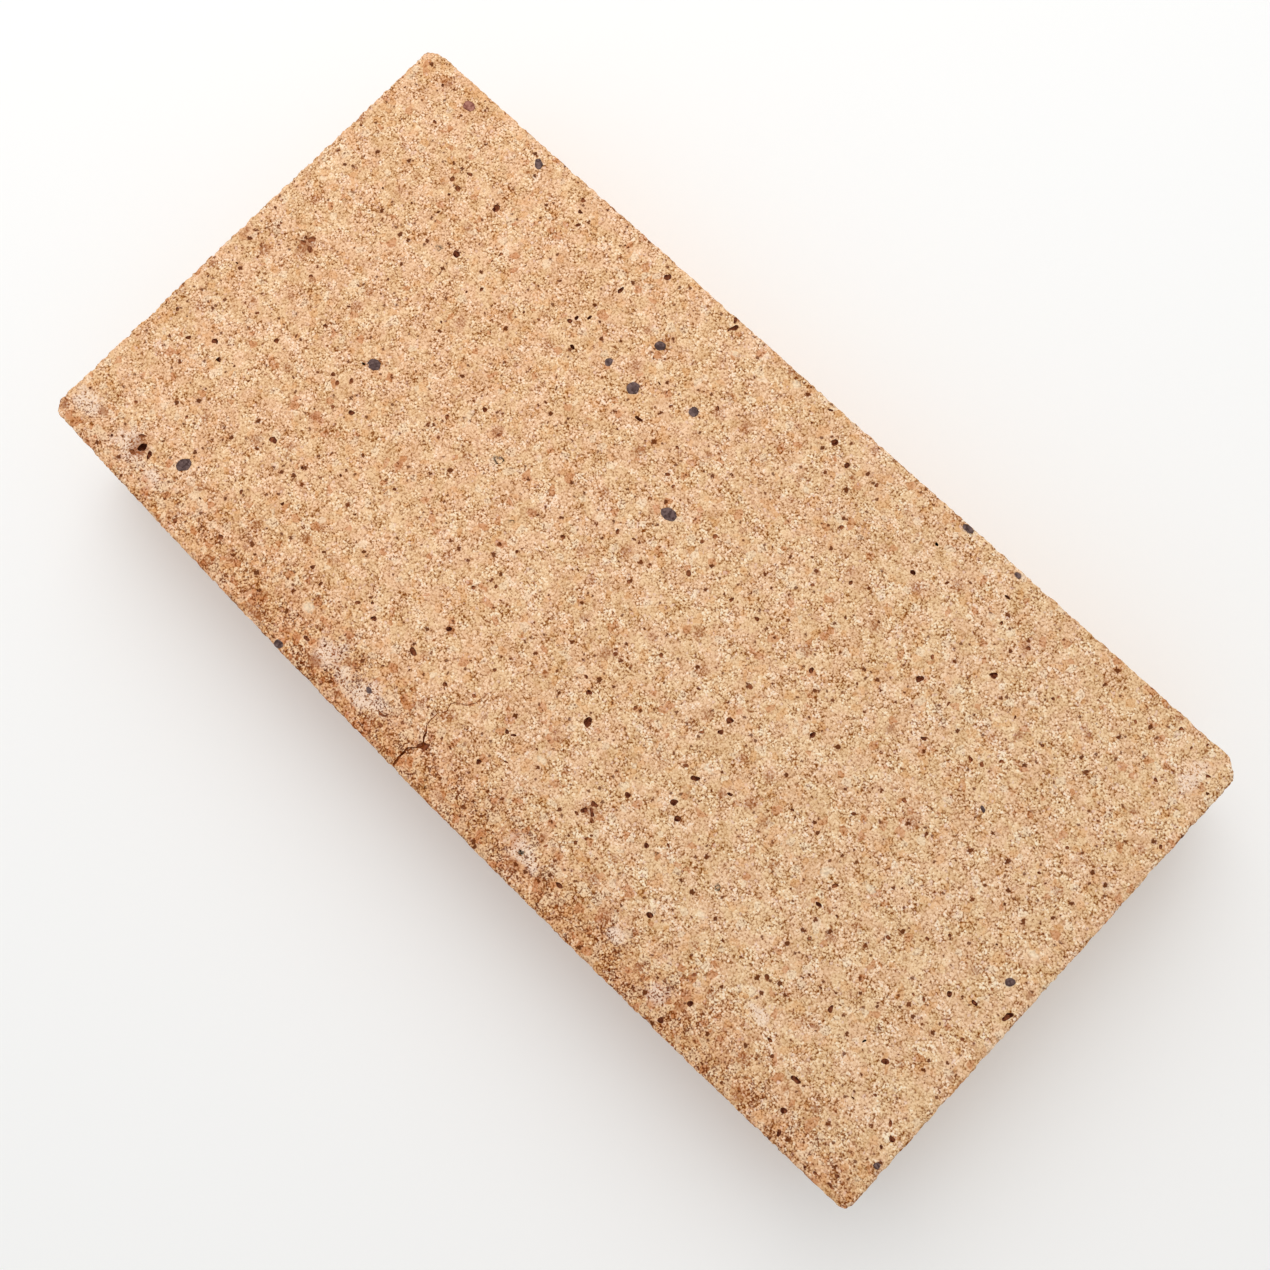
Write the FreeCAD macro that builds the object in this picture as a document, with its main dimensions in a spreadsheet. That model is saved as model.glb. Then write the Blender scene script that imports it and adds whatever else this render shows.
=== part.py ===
import FreeCAD, Part
import os

import Sketcher
from FreeCAD import Vector

# A split firebrick: fireclay and crushed grog pressed in a mould and fired as one
# solid piece. It lies on one of its two large bed faces. +X runs along the length,
# +Y points to the straight long side and +Z is up. The origin is the bottom centre
# of the brick's overall box. All lengths are in millimetres.
#
# The pressed blank is a box whose front long side swells a little towards its
# middle. The mould leaves rounded upright corners and softened arrises. Handling
# has broken three upper corners, and firing has opened a drying crack from the
# front side and left a few pits on the upper bed face.

SHEET = "Sizes"
NODE = "firebrick"

# Every driving size: its name, its value and what it is.
SIZES = (
    ("brick_length", 229.0, "length over the two ends"),
    ("brick_width", 114.0, "width at the two ends"),
    ("brick_thickness", 32.0, "height between the bed faces"),
    ("side_bow", 2.0, "how far the front side swells at mid length"),
    ("corner_radius", 2.4, "round of the four upright corners"),
    ("arris_radius", 1.1, "round of the arrises of both bed faces"),
    ("back_left_chip_along", 3.2, "broken corner, measured along the length"),
    ("back_left_chip_across", 2.8, "broken corner, measured across the width"),
    ("back_left_chip_drop", 8.0, "broken corner, measured down the upright"),
    ("back_right_chip_along", 4.4, "broken corner, measured along the length"),
    ("back_right_chip_across", 3.4, "broken corner, measured across the width"),
    ("back_right_chip_drop", 9.0, "broken corner, measured down the upright"),
    ("front_left_chip_along", 2.8, "broken corner, measured along the length"),
    ("front_left_chip_across", 3.6, "broken corner, measured across the width"),
    ("front_left_chip_drop", 7.0, "broken corner, measured down the upright"),
    ("crack_from_left", 106.6, "crack, the nearest that it comes to the left end"),
    ("crack_wander", 4.4, "how far the crack strays along the length"),
    ("crack_length", 25.0, "how far in from the front side's crown the crack dies out"),
    ("crack_mouth", 0.5, "crack's width where it opens at the front side"),
    ("crack_depth", 3.0, "crack's depth below the upper bed face"),
    ("crater_from_left", 20.8, "crater beside the front left corner"),
    ("crater_from_front", 8.3, "crater, from the front side's ends"),
    ("crater_width", 3.8, "crater, across its mouth"),
    ("crater_depth", 1.2, "crater, below the bed face"),
    ("burnt_pit_from_left", 14.1, "burnt-out pit near the left end"),
    ("burnt_pit_from_front", 63.5, "burnt-out pit, from the front side's ends"),
    ("burnt_pit_width", 3.5, "burnt-out pit, across its mouth"),
    ("burnt_pit_depth", 0.8, "burnt-out pit, below the bed face"),
    ("rust_pit_from_left", 142.4, "rusty pit near the front side"),
    ("rust_pit_from_front", 20.1, "rusty pit, from the front side's ends"),
    ("rust_pit_width", 3.3, "rusty pit, across its mouth"),
    ("rust_pit_depth", 0.8, "rusty pit, below the bed face"),
    ("edge_pit_from_left", 93.8, "pit broken into the back arris"),
    ("edge_pit_from_back", 1.2, "pit in the back arris, from the back side"),
    ("edge_pit_width", 3.0, "pit in the back arris, across its mouth"),
    ("edge_pit_depth", 1.0, "pit in the back arris, below the bed face"),
)

# The same values by name, for drawing each sketch about as large as it will be. The
# sheet's cells then hold every point.
DRAWN = {alias: value for alias, value, _ in SIZES}

# Places on the bed faces, written in the driving sizes.
LEFT_END = f"(-{SHEET}.brick_length / 2)"
RIGHT_END = f"({SHEET}.brick_length / 2)"
BACK_SIDE = f"(({SHEET}.brick_width + {SHEET}.side_bow) / 2)"
FRONT_SIDE = f"(({SHEET}.side_bow - {SHEET}.brick_width) / 2)"
FRONT_CROWN = f"(-({SHEET}.brick_width + {SHEET}.side_bow) / 2)"
UPPER_BED = f"{SHEET}.brick_thickness"

# The crack's middle line from the front side's crown inwards, each point as a share
# of crack_wander along the length and a share of crack_length across the width.
CRACK_LINE = (
    (0.26, 0.0),
    (0.18, 0.13),
    (0.15, 0.22),
    (0.62, 0.29),
    (0.34, 0.36),
    (0.07, 0.44),
    (0.0, 0.58),
    (0.26, 0.63),
    (0.17, 0.73),
    (0.66, 0.78),
    (0.93, 0.86),
    (1.0, 1.0),
)


def add_sheet(doc):
    """The spreadsheet with one row for each driving size."""
    sheet = doc.addObject("Spreadsheet::Sheet", SHEET)
    for row, (alias, value, meaning) in enumerate(SIZES, start=1):
        sheet.set(f"A{row}", alias)
        sheet.set(f"B{row}", str(value))
        sheet.set(f"C{row}", meaning)
        sheet.setAlias(f"B{row}", alias)
    doc.recompute()
    return sheet


def bed_plane(body):
    """The body's own XY plane, which is the lower bed face."""
    return next(f for f in body.Origin.OriginFeatures if f.Role == "XY_Plane")


def add_sketch(body, name, left=None, front=None, height=None):
    """A sketch parallel to the bed faces, its origin at places given as expressions."""
    sketch = body.newObject("Sketcher::SketchObject", name)
    sketch.AttachmentSupport = [(bed_plane(body), "")]
    sketch.MapMode = "FlatFace"
    for axis, place in (("x", left), ("y", front), ("z", height)):
        if place:
            sketch.setExpression(f"AttachmentOffset.Base.{axis}", place)
    return sketch


def hold_point(sketch, geometry, point, along, across):
    """Fixes a sketch point at two expressions, measured from the sketch's origin.

    Where an expression is None the point lies on that axis of the sketch. Each
    distance starts from where the point was drawn, so the outline never collapses.
    """
    drawn = sketch.getPoint(geometry, point)
    for kind, place, start, axis in (
        ("DistanceX", along, drawn.x, -2),
        ("DistanceY", across, drawn.y, -1),
    ):
        if place is None:
            sketch.addConstraint(Sketcher.Constraint("PointOnObject", geometry, point, axis))
            continue
        number = sketch.addConstraint(
            Sketcher.Constraint(kind, -1, 1, geometry, point, float(start))
        )
        sketch.setExpression(f"Constraints[{number}]", place)


def add_outline(sketch):
    """The blank seen from above: three straight sides and a front side that swells."""
    end = DRAWN["brick_length"] / 2
    side = DRAWN["brick_width"] / 2
    front_left = Vector(-end, -side, 0)
    front_right = Vector(end, -side, 0)
    back_right = Vector(end, side, 0)
    back_left = Vector(-end, side, 0)
    crown = Vector(0, -side - DRAWN["side_bow"], 0)
    swell = sketch.addGeometry(Part.Arc(front_left, crown, front_right))
    right = sketch.addGeometry(Part.LineSegment(front_right, back_right))
    back = sketch.addGeometry(Part.LineSegment(back_right, back_left))
    left = sketch.addGeometry(Part.LineSegment(back_left, front_left))
    middle = sketch.addGeometry(Part.Point(crown), True)

    # An arc runs anticlockwise, so its start is the left end of the front side.
    for first, first_end, second, second_end in (
        (swell, 2, right, 1),
        (right, 2, back, 1),
        (back, 2, left, 1),
        (left, 2, swell, 1),
    ):
        sketch.addConstraint(
            Sketcher.Constraint("Coincident", first, first_end, second, second_end)
        )
    sketch.addConstraint(Sketcher.Constraint("Vertical", right))
    sketch.addConstraint(Sketcher.Constraint("Horizontal", back))
    sketch.addConstraint(Sketcher.Constraint("Vertical", left))
    sketch.addConstraint(Sketcher.Constraint("Horizontal", swell, 1, swell, 2))
    sketch.addConstraint(Sketcher.Constraint("PointOnObject", middle, 1, swell))
    hold_point(sketch, left, 2, LEFT_END, FRONT_SIDE)
    hold_point(sketch, back, 1, RIGHT_END, BACK_SIDE)
    hold_point(sketch, middle, 1, None, FRONT_CROWN)


def add_blank(body):
    """The pressed blank: the outline raised to the brick's thickness."""
    sketch = add_sketch(body, "BlankOutline")
    add_outline(sketch)
    pad = body.newObject("PartDesign::Pad", "Blank")
    pad.Profile = sketch
    pad.setExpression("Length", f"{SHEET}.brick_thickness")
    body.Document.recompute()
    return pad


def upright_edges(shape):
    """Names of the edges that join the two bed faces."""
    low, high = shape.BoundBox.ZMin, shape.BoundBox.ZMax
    return [
        f"Edge{number}"
        for number, edge in enumerate(shape.Edges, start=1)
        if abs(edge.BoundBox.ZMin - low) < 1e-6 and abs(edge.BoundBox.ZMax - high) < 1e-6
    ]


def bed_edges(shape):
    """Names of the edges that go round the two bed faces."""
    levels = (shape.BoundBox.ZMin, shape.BoundBox.ZMax)
    return [
        f"Edge{number}"
        for number, edge in enumerate(shape.Edges, start=1)
        if any(
            abs(edge.BoundBox.ZMin - level) < 1e-6 and abs(edge.BoundBox.ZMax - level) < 1e-6
            for level in levels
        )
    ]


def round_edges(body, name, base, edges, radius):
    """Rounds the named edges of the last feature to a size of the sheet."""
    fillet = body.newObject("PartDesign::Fillet", name)
    fillet.Base = (base, edges)
    fillet.setExpression("Radius", f"{SHEET}.{radius}")
    body.Document.recompute()
    return fillet


def add_corner_chip(body, corner, end, side):
    """A broken upper corner: a flat break from the upright to both upper arrises."""
    toward_end = -1 if end == LEFT_END else 1
    toward_side = -1 if side == FRONT_SIDE else 1
    along = f"{SHEET}.{corner}_chip_along * {-toward_end}"
    across = f"{SHEET}.{corner}_chip_across * {-toward_side}"
    drop = f"{SHEET}.{corner}_chip_drop"

    top = add_sketch(body, f"{corner}_chip_top", end, side, UPPER_BED)
    tip = Vector(0, 0, 0)
    on_side = Vector(-toward_end * DRAWN[f"{corner}_chip_along"], 0, 0)
    on_end = Vector(0, -toward_side * DRAWN[f"{corner}_chip_across"], 0)
    lines = [
        top.addGeometry(Part.LineSegment(tip, on_side)),
        top.addGeometry(Part.LineSegment(on_side, on_end)),
        top.addGeometry(Part.LineSegment(on_end, tip)),
    ]
    for number, line in enumerate(lines):
        following = lines[(number + 1) % len(lines)]
        top.addConstraint(Sketcher.Constraint("Coincident", line, 2, following, 1))
    top.addConstraint(Sketcher.Constraint("Coincident", lines[0], 1, -1, 1))
    hold_point(top, lines[1], 1, along, None)
    hold_point(top, lines[1], 2, None, across)

    foot = add_sketch(body, f"{corner}_chip_foot", end, side, f"{UPPER_BED} - {drop}")
    point = foot.addGeometry(Part.Point(tip))
    foot.addConstraint(Sketcher.Constraint("Coincident", point, 1, -1, 1))
    body.Document.recompute()

    chip = body.newObject("PartDesign::SubtractiveLoft", f"{corner}_chip")
    chip.Profile = top
    chip.Sections = [foot]
    chip.Ruled = True
    body.Document.recompute()
    return chip


def crack_lips():
    """The crack's outline, down one lip and back up the other, narrowing to its end.

    Each point is its shares of the wander, of the mouth and of the length.
    """
    last = len(CRACK_LINE) - 1
    left_lip = []
    right_lip = []
    for number, (wander, inward) in enumerate(CRACK_LINE[:last]):
        half_open = (last - number) / last / 2
        left_lip.append((wander, -half_open, inward))
        right_lip.append((wander, half_open, inward))
    end_wander, end_inward = CRACK_LINE[last]
    return left_lip + [(end_wander, 0.0, end_inward)] + right_lip[::-1]


def add_crack(body):
    """The drying crack: a narrow slit that wanders in from the front side and dies out."""
    place = f"{LEFT_END} + {SHEET}.crack_from_left"
    sketch = add_sketch(body, "CrackOutline", place, FRONT_CROWN, UPPER_BED)
    lips = crack_lips()
    points = [
        Vector(
            wander * DRAWN["crack_wander"] + opening * DRAWN["crack_mouth"],
            inward * DRAWN["crack_length"],
            0,
        )
        for wander, opening, inward in lips
    ]
    lines = [
        sketch.addGeometry(Part.LineSegment(point, points[(number + 1) % len(points)]))
        for number, point in enumerate(points)
    ]
    for number, (wander, opening, inward) in enumerate(lips):
        joined = Sketcher.Constraint("Coincident", lines[number - 1], 2, lines[number], 1)
        sketch.addConstraint(joined)
        hold_point(
            sketch,
            lines[number],
            1,
            f"{wander} * {SHEET}.crack_wander + {opening} * {SHEET}.crack_mouth",
            f"{inward} * {SHEET}.crack_length" if inward else None,
        )
    pocket = body.newObject("PartDesign::Pocket", "Crack")
    pocket.Profile = sketch
    pocket.setExpression("Length", f"{SHEET}.crack_depth")
    body.Document.recompute()
    return pocket


def add_pit(body, pit, across):
    """A shallow bowl in the upper bed face: a sphere's cap of the pit's width and depth."""
    half_width = f"({SHEET}.{pit}_width / 2)"
    depth = f"{SHEET}.{pit}_depth"
    radius = f"(({half_width} ^ 2 + {depth} ^ 2) / (2 * {depth}))"
    bowl = body.newObject("PartDesign::SubtractiveSphere", pit)
    bowl.AttachmentSupport = [(bed_plane(body), "")]
    bowl.MapMode = "FlatFace"
    bowl.setExpression("Radius", radius)
    bowl.setExpression("AttachmentOffset.Base.x", f"{LEFT_END} + {SHEET}.{pit}_from_left")
    bowl.setExpression("AttachmentOffset.Base.y", across)
    bowl.setExpression("AttachmentOffset.Base.z", f"{UPPER_BED} - {depth} + {radius}")
    body.Document.recompute()
    return bowl


def add_firebrick(doc):
    """The whole brick as one body, one feature after another."""
    body = doc.addObject("PartDesign::Body", "Firebrick")
    body.Label = NODE
    blank = add_blank(body)
    uprights = upright_edges(blank.Shape)
    corners = round_edges(body, "UprightCorners", blank, uprights, "corner_radius")
    arrises = bed_edges(corners.Shape)
    features = [blank, corners]
    features.append(round_edges(body, "Arrises", corners, arrises, "arris_radius"))
    features.append(add_corner_chip(body, "back_left", LEFT_END, BACK_SIDE))
    features.append(add_corner_chip(body, "back_right", RIGHT_END, BACK_SIDE))
    features.append(add_corner_chip(body, "front_left", LEFT_END, FRONT_SIDE))
    features.append(add_crack(body))
    for pit in ("crater", "burnt_pit", "rust_pit"):
        features.append(add_pit(body, pit, f"{FRONT_SIDE} + {SHEET}.{pit}_from_front"))
    features.append(add_pit(body, "edge_pit", f"{BACK_SIDE} - {SHEET}.edge_pit_from_back"))
    return body, features


def check(doc, body, features):
    """Stops on a failed object, a bad solid, or a feature that took nothing away."""
    failed = [o.Name for o in doc.Objects if {"Invalid", "Error"} & set(o.State)]
    if failed:
        raise RuntimeError(f"these objects failed: {failed}")
    for before, after in zip(features, features[1:]):
        if not after.Shape.Volume < before.Shape.Volume:
            raise RuntimeError(f"{after.Name} took nothing away")
    shape = body.Shape
    if shape.isNull() or not shape.isValid() or len(shape.Solids) != 1:
        raise RuntimeError(f"{body.Label} isn't one valid solid")


def main():
    doc = FreeCAD.newDocument("SplitFirebrick")
    add_sheet(doc)
    body, features = add_firebrick(doc)
    doc.recompute()
    check(doc, body, features)
    os.makedirs("parts", exist_ok=True)
    body.Shape.exportStep(f"parts/{body.Label}.step")
    volume_cm3 = body.Shape.Volume / 1000
    print(f"{body.Label}: {volume_cm3:.1f} cm3, {len(body.Shape.Faces)} faces")


main()
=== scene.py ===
"""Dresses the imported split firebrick: a thin slab of fired clay and crushed grog.

The brick lies on its lower bed and the camera looks down on the upper one. +X runs
along the brick's length, +Y points to its straight long side and +Z is up. Sizes and
places are in millimetres, measured as the object's maker would, and MM turns them into
the metres of the frame.
"""

from __future__ import annotations

import logging
import math
import random
from collections.abc import Callable, Iterator, Sequence
from contextlib import contextmanager
from dataclasses import dataclass
from enum import Enum
from typing import Any

import bmesh
import bpy
import numpy as np
from mathutils import Matrix, Vector

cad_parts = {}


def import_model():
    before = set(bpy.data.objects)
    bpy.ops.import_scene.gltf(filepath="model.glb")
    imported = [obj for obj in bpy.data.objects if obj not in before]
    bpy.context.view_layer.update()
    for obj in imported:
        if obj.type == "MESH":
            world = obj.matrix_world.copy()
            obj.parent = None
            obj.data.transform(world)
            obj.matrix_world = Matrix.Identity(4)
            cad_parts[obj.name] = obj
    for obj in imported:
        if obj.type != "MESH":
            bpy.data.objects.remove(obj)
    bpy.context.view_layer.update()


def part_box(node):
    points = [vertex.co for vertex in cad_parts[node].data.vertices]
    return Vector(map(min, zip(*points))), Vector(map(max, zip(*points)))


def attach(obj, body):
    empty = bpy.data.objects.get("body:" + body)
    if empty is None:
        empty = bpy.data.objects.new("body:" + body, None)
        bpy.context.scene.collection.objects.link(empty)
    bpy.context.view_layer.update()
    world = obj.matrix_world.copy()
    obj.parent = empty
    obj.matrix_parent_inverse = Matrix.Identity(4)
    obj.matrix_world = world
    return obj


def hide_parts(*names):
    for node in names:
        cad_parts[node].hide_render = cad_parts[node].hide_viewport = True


LOG = logging.getLogger("firebrick")

MM = 0.001
NODE = "firebrick"
DULL_GLANCE = 0.06
DOT_DEPTH = 0.34

Colour = tuple[float, float, float, float]
Patch = tuple[float, float, float, float]
Feed = Any


def paint(red: int, green: int, blue: int) -> Colour:
    """Turns a colour as a screen shows it into the linear colour that a shader takes.

    Args:
        red: The red channel, from 0 to 255.
        green: The green channel, from 0 to 255.
        blue: The blue channel, from 0 to 255.

    Returns:
        The linear colour with full alpha.
    """

    def linear(channel: int) -> float:
        share = channel / 255
        return share / 12.92 if share <= 0.04045 else ((share + 0.055) / 1.055) ** 2.4

    return (linear(red), linear(green), linear(blue), 1.0)


RULER_MIDDLE = (114.5, 57.0)
RULER_ERROR = 0.0025
RULER_SLIP = 0.83
RULER_TILT = 0.002
RULER_SAG = 0.2


class MarkKind(Enum):
    """What a mark on the upper bed is."""

    NODULE = "nodule"
    GROG = "grog"
    PIT = "pit"


@dataclass(frozen=True)
class Mark:
    """One nodule or pit on the upper bed, placed as a ruler would find it.

    Args:
        kind: What the mark is.
        left: Its distance from the left end.
        front: Its distance from the ends of the front side.
        length: Its size along its own long axis.
        width: Its size across that axis.
        turn: The long axis's angle from +X, in degrees.
        depth: How deep it goes below the bed.
    """

    kind: MarkKind
    left: float
    front: float
    length: float
    width: float
    turn: float
    depth: float


@dataclass(frozen=True)
class Break:
    """A corner broken off the upper bed.

    Args:
        end: -1 at the left end, 1 at the right end.
        side: -1 at the front side, 1 at the back side.
        along: How much of the long arris is gone.
        across: How much of the end's arris is gone.
        drop: How far the break runs down the upright.
    """

    end: int
    side: int
    along: float
    across: float
    drop: float


def pit(
    left: float,
    front: float,
    length: float = 1.1,
    width: float = 0.0,
    turn: float = 35.0,
    depth: float = 0.55,
) -> Mark:
    """Places a pit.

    Args:
        left: Its distance from the left end.
        front: Its distance from the ends of the front side.
        length: Its size along its own long axis.
        width: Its size across that axis, 0 for a pit that is nearly round.
        turn: The long axis's angle from +X, in degrees.
        depth: How deep it goes below the bed.

    Returns:
        The mark.
    """
    return Mark(MarkKind.PIT, left, front, length, width or length * 0.86, turn, depth)


def square_up(left: float, front: float) -> tuple[float, float]:
    """Corrects a measured place.

    The ruler's lower line left the front side's ends by a little, more at the left. The
    ruler sagged to the left between the ends, and because they stood on crumbled edges
    it read a quarter of a per cent long.

    Args:
        left: The measured distance from the left end.
        front: The measured distance from the ends of the front side.

    Returns:
        The two true distances.
    """
    middle_left, middle_front = RULER_MIDDLE
    slip = (RULER_SLIP - RULER_TILT * left) * (1.0 - front / (2 * middle_front))
    sag = RULER_SAG * (1.0 - ((left - middle_left) / middle_left) ** 2)
    true_left = left + sag + RULER_ERROR * (middle_left - left)
    return true_left, front - slip + RULER_ERROR * (middle_front - front)


# Each nodule's and each pit's place from the left end and from the ends of the front
# side, then its length. Its width, turn and depth follow where they aren't the usual.
NODULES = (
    (30.5, 11.9, 3.3, 2.6, 70.0), (44.0, 54.4, 2.8, 2.5, 20.0),
    (111.9, 73.7, 3.6, 2.4, 12.0), (100.5, 92.8, 2.2, 2.0, 0.0),
    (85.4, 98.3, 2.4, 2.0, 30.0), (80.0, 88.5, 1.8, 1.6, 90.0),
    (87.7, 87.9, 2.8, 2.5, 60.0), (37.4, 110.0, 2.4, 1.6, -35.0),
    (158.2, 112.9, 2.5, 1.3, 0.0), (171.8, 112.6, 1.5, 1.1, 0.0),
    (223.0, 52.7, 2.0, 1.6, 45.0), (72.8, 0.0, 2.1, 1.7, 10.0), (93.2, 6.2, 1.6, 1.1, 0.0),
    (197.7, 73.3, 1.6, 0.8, -25.0), (227.4, 10.8, 1.2, 1.1, 0.0),
)
PITS = (
    (21.2, 8.4, 2.1, 1.6, 80.0, 1.2), (20.2, 6.2, 1.5, 1.2, 0.0, 0.35),
    (23.4, 8.3, 1.9, 0.8, -45.0, 0.4), (19.3, 10.2, 2.0, 0.7, 40.0, 0.35),
    (13.6, 64.4, 2.6, 1.2, 70.0, 0.34), (14.9, 62.8, 2.1, 1.1, 140.0, 0.34),
    (12.8, 62.9, 1.8, 1.0, 40.0, 0.34), (142.1, 21.5, 1.5, 1.1, 20.0, 0.5),
    (142.9, 20.1, 2.1, 1.1, -40.0, 0.5), (141.5, 19.4, 1.6, 0.9, 60.0, 0.5),
    (144.0, 19.0, 1.2, 0.8, 0.0, 0.3), (140.8, 17.9, 0.9, 0.7, 0.0, 0.3),
    (109.3, 6.0, 2.4, 1.5, 45.0, 0.5), (94.0, 111.6, 2.8, 0.9, 65.0, 0.6),
    (93.0, 113.2, 1.8, 0.8, -50.0, 0.5), (42.2, 53.0, 1.2, 0.8, 35.0, 0.3),
    (39.1, 83.5, 1.9, 1.6), (131.4, 106.0, 1.4), (126.3, 107.8, 1.7, 1.3),
    (121.0, 112.3, 1.3, 0.9, 0.0), (75.9, 110.3, 1.6, 1.3, 50.0),
    (70.6, 101.5, 1.4, 1.0, 90.0), (68.2, 90.9, 1.2), (67.5, 89.3, 1.3),
    (70.1, 92.7, 1.3, 0.9, 90.0), (72.1, 85.7, 1.2), (93.1, 84.0, 1.8, 0.8, 0.0),
    (37.9, 96.5, 1.8, 1.6), (171.6, 83.7, 1.7, 1.5), (181.8, 94.3, 1.6), (180.2, 75.6, 1.3),
    (156.2, 98.7, 1.3, 0.9, 0.0), (173.3, 107.9, 1.5, 0.9, 10.0),
    (155.0, 70.3, 1.4, 1.0, 90.0), (78.2, 57.7, 1.9, 1.6),
    (129.8, 32.4, 1.9, 1.5, 90.0, 0.7), (125.8, 36.5, 1.4), (153.2, 32.7, 1.5),
    (153.1, 39.0, 2.0, 1.0, 25.0), (150.0, 51.8, 1.4), (150.3, 49.0, 1.3),
    (160.1, 41.5, 1.2), (156.0, 30.8, 1.3), (145.6, 27.4, 1.4), (155.2, 23.0, 1.3),
    (163.9, 61.2, 1.6, 1.0, 90.0), (165.0, 14.0, 1.4), (182.0, 7.5, 1.3), (48.3, 43.8, 1.3),
    (15.1, 34.7, 1.5), (18.9, 32.4, 1.4, 1.0, 20.0), (40.4, 28.5, 1.8, 1.3, 20.0),
    (215.9, 25.5, 1.6), (202.0, 25.4, 1.3, 1.0, 90.0), (220.8, 45.1, 1.5, 1.0, 0.0),
    (216.3, 43.1), (226.2, 16.3, 1.4), (206.1, 11.5, 2.0, 1.0, 0.0),
    (210.4, 2.4, 1.4, 1.1, 90.0), (208.2, 5.8), (227.0, 47.6, 2.4, 1.4, 80.0),
    (187.2, 38.0, 1.2, 0.9, 0.0), (94.0, 17.9, 1.8, 1.4, 10.0), (96.2, 26.1, 1.2, 0.9),
    (83.3, 17.0, 1.3), (98.6, 4.8, 2.0, 1.0, 10.0, 0.3), (99.9, 3.0, 1.6, 0.8, 10.0, 0.3),
    (76.2, 4.7, 1.5, 0.8, 0.0), (119.5, 19.6, 0.9), (120.8, 20.1, 1.2, 0.8),
    (119.5, 11.5, 1.2), (138.4, 5.0, 1.0), (148.1, 5.7, 1.6, 0.8, 0.0),
    (180.2, 1.5, 1.5, 1.2, 0.0), (218.0, 1.2, 1.3), (220.6, 1.8, 2.2, 0.6, 8.0, 0.3),
    (223.6, 2.3, 1.8, 0.6, 12.0, 0.3),
)
MARKS = (
    *(Mark(MarkKind.NODULE, *row, depth=1.0) for row in NODULES),
    Mark(MarkKind.GROG, 16.6, 109.3, 2.7, 2.1, 10.0, 1.0),
    *(pit(*row) for row in PITS),
)

# The smaller pits: each one's place from the left end and from the ends of the front
# side, and how wide it is.
DOTS = (
    (8.6, 108.9, 0.8), (28.1, 98.3, 1.1), (26.0, 94.8, 1.1), (28.5, 94.3, 1.2),
    (28.1, 91.9, 0.8), (29.3, 87.6, 0.9), (23.5, 85.0, 0.8), (45.8, 87.5, 0.8),
    (51.9, 108.2, 1.0), (53.5, 105.7, 0.9), (50.4, 110.5, 1.2), (32.7, 110.3, 0.8),
    (48.8, 81.6, 0.8), (46.8, 78.9, 0.7), (52.8, 79.1, 0.7), (19.6, 58.8, 1.0),
    (43.1, 48.6, 1.1), (39.1, 47.0, 0.9), (41.2, 46.3, 1.2), (27.2, 47.5, 0.9),
    (17.3, 45.2, 1.0), (24.9, 43.9, 1.0), (33.3, 40.7, 1.0), (10.4, 31.4, 1.0),
    (62.4, 85.2, 0.8), (91.0, 92.4, 0.8), (96.2, 90.4, 0.8), (103.5, 96.8, 0.8),
    (105.8, 79.6, 1.0), (108.5, 78.6, 1.0), (111.4, 77.6, 0.8), (92.7, 73.3, 0.8),
    (138.5, 107.1, 1.0), (139.4, 95.7, 1.1), (148.6, 88.7, 1.1), (152.7, 82.7, 0.8),
    (170.5, 88.7, 0.9), (179.0, 84.0, 1.0), (121.9, 76.8, 1.0), (120.9, 74.2, 1.0),
    (135.4, 73.1, 1.1), (133.5, 69.6, 1.0), (139.8, 70.3, 0.9), (123.5, 67.5, 1.2),
    (183.0, 103.0, 1.1), (175.8, 103.3, 0.9), (194.1, 82.5, 0.9), (189.6, 78.8, 1.2),
    (191.6, 79.6, 1.0), (197.7, 90.5, 1.0), (218.1, 100.6, 0.9), (227.0, 91.4, 1.0),
    (215.1, 111.4, 0.9), (131.0, 51.9, 1.0), (141.2, 52.1, 0.8), (124.1, 45.7, 1.0),
    (147.6, 46.3, 0.9), (123.1, 38.3, 0.9), (96.9, 38.8, 1.1), (99.5, 37.5, 0.8),
    (93.5, 35.4, 0.8), (66.8, 38.6, 1.0), (118.1, 51.1, 0.8), (89.7, 50.2, 1.0),
    (98.7, 51.5, 0.9), (99.5, 55.4, 1.0), (63.6, 57.0, 1.2), (68.2, 63.5, 1.0),
    (74.4, 61.8, 0.9), (106.8, 64.0, 1.1), (110.4, 65.1, 0.8), (170.8, 47.7, 0.8),
    (170.8, 26.8, 1.1), (185.6, 64.1, 1.0), (192.9, 62.2, 0.9), (180.1, 55.4, 1.0),
    (212.7, 62.9, 0.8), (209.0, 51.2, 0.8), (206.4, 47.6, 0.9), (186.9, 42.9, 1.0),
    (200.9, 42.9, 1.0), (191.1, 38.8, 0.8), (211.6, 38.3, 0.8), (213.4, 39.0, 0.8),
    (144.8, 13.8, 1.0), (145.8, 15.8, 0.9), (140.8, 9.3, 1.0), (189.3, 21.2, 0.9),
    (197.5, 13.3, 1.2), (199.9, 11.4, 0.9), (218.6, 19.8, 0.9), (224.2, 18.0, 1.0),
    (225.6, 13.8, 0.9), (223.3, 4.4, 1.0), (80.8, 19.0, 0.8), (78.5, 17.0, 0.9),
    (66.3, 15.7, 1.0), (103.6, 17.7, 1.1), (123.8, 15.2, 0.9), (125.5, 12.3, 0.9),
    (14.4, 5.7, 0.7), (24.8, 4.9, 0.7), (12.7, 14.1, 0.8), (23.2, 19.1, 0.8),
    (43.8, 16.3, 1.0), (51.8, 20.5, 0.9), (47.6, 6.8, 1.2), (157.6, 23.1, 0.8),
)


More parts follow.
